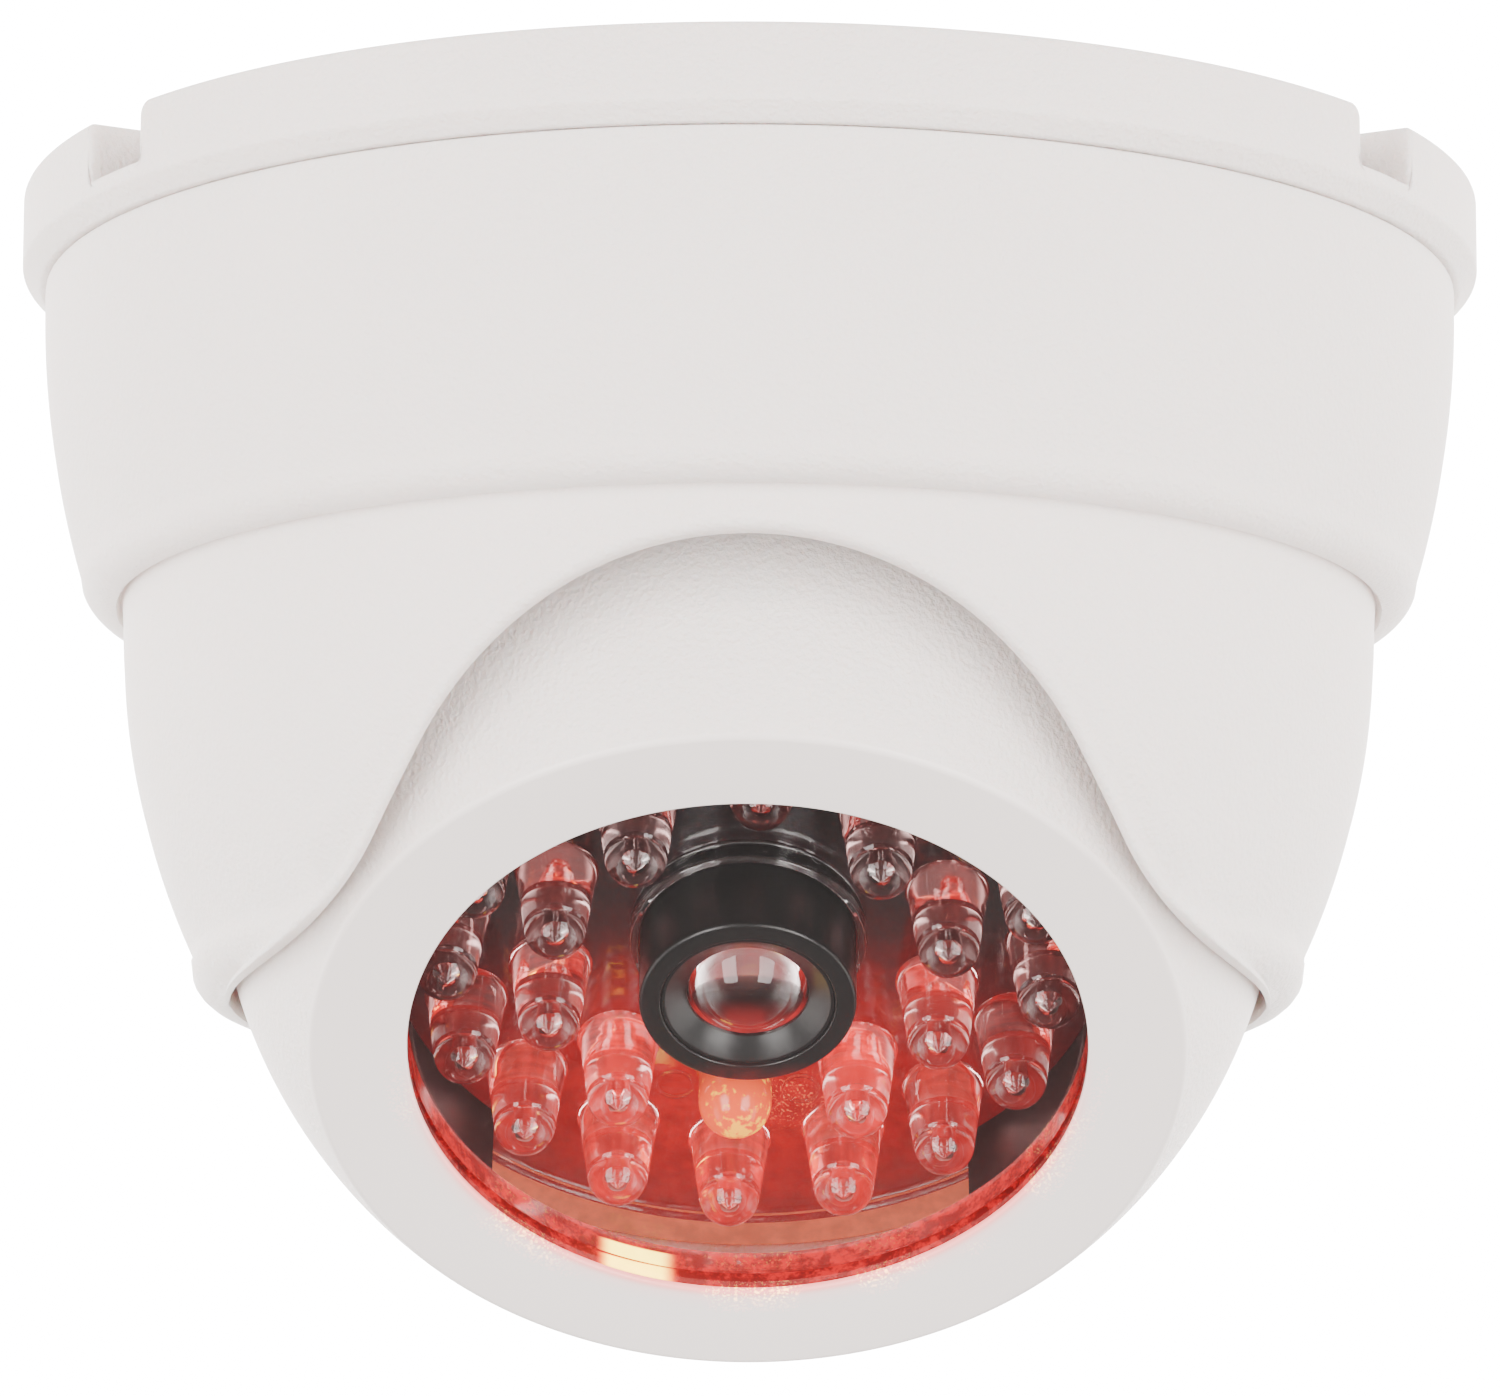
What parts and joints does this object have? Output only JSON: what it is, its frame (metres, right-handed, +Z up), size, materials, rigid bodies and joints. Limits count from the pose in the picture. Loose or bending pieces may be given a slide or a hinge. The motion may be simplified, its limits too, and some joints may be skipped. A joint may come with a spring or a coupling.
{
  "type": "dome security camera",
  "caption": "White plastic ceiling dome camera: round base, twist-on cover with an arch, and a tilting eyeball with clear dummy LEDs round a domed lens.",
  "frame": {"origin": "centre of the base's flat face against the ceiling", "axes": "+Z up into the ceiling, -Z down to the dome, -Y the side the eyeball looks to, +X to the right in a view from the front"},
  "size_m": [0.1, 0.1, 0.0785],
  "materials": {
    "white_plastic": "fine moulded grain, smooth on the bezel",
    "black_plastic": "semi-gloss",
    "clear_plastic": "clear moulded acrylic or polystyrene, polished",
    "steel": "zinc plated",
    "nickel": "nickel plated spring steel",
    "red_light": "lit red LED in a clear tinted body",
    "board": "brown paper laminate",
    "black_resin": "blob of black resin",
    "small_parts": "resistor and capacitor",
    "cell_jacket": "printed sleeve on a steel can",
    "slider": "nylon",
    "red_insulation": "PVC insulation",
    "black_insulation": "PVC insulation"
  },
  "bodies": {
    "base": {"mounting_base": "white_plastic"},
    "cover": {"cover": "white_plastic", "pivot_clips": "white_plastic", "clip_screws": "steel"},
    "eyeball": {"eye_front_shell": "white_plastic", "eye_rear_shell": "white_plastic", "shell_screws": "steel", "window": "clear_plastic", "liner_ring": "black_plastic", "led_plate": "clear_plastic", "backing_disc": "black_plastic", "plate_carrier": "white_plastic", "carrier_screws": "steel", "dummy_leds_inner": "clear_plastic", "dummy_leds_outer": "clear_plastic", "flash_led": "red_light", "led_leads": "steel", "lens_barrel": "black_plastic", "lens_retainer": "black_plastic", "lens_dome": "clear_plastic", "barrel_screw": "steel", "driver_board": "board", "driver_chip": "black_resin", "board_parts": "small_parts", "board_screws": "steel", "battery_box": "black_plastic", "box_screws": "steel", "contact_plates": "nickel", "battery_springs": "nickel", "batteries": "cell_jacket", "switch_body": "black_plastic", "red_wires": "red_insulation", "black_wire": "black_insulation"},
    "slider": {"switch_slider": "slider"}
  },
  "joints": [
    {"name": "cover_twist", "type": "hinge", "parent": "base", "child": "cover", "pos_m": [0, 0, 0], "axis": [0, 0, 1], "range_deg": [0, 25]},
    {"name": "eyeball_tilt", "type": "hinge", "parent": "cover", "child": "eyeball", "pos_m": [0, 0, -0.0437], "axis": [1, 0, 0], "range_deg": [-23, 36]},
    {"name": "switch_slide", "type": "slide", "parent": "eyeball", "child": "slider", "axis": [1, 0, 0], "range_m": [0, 0.002]}
  ]
}
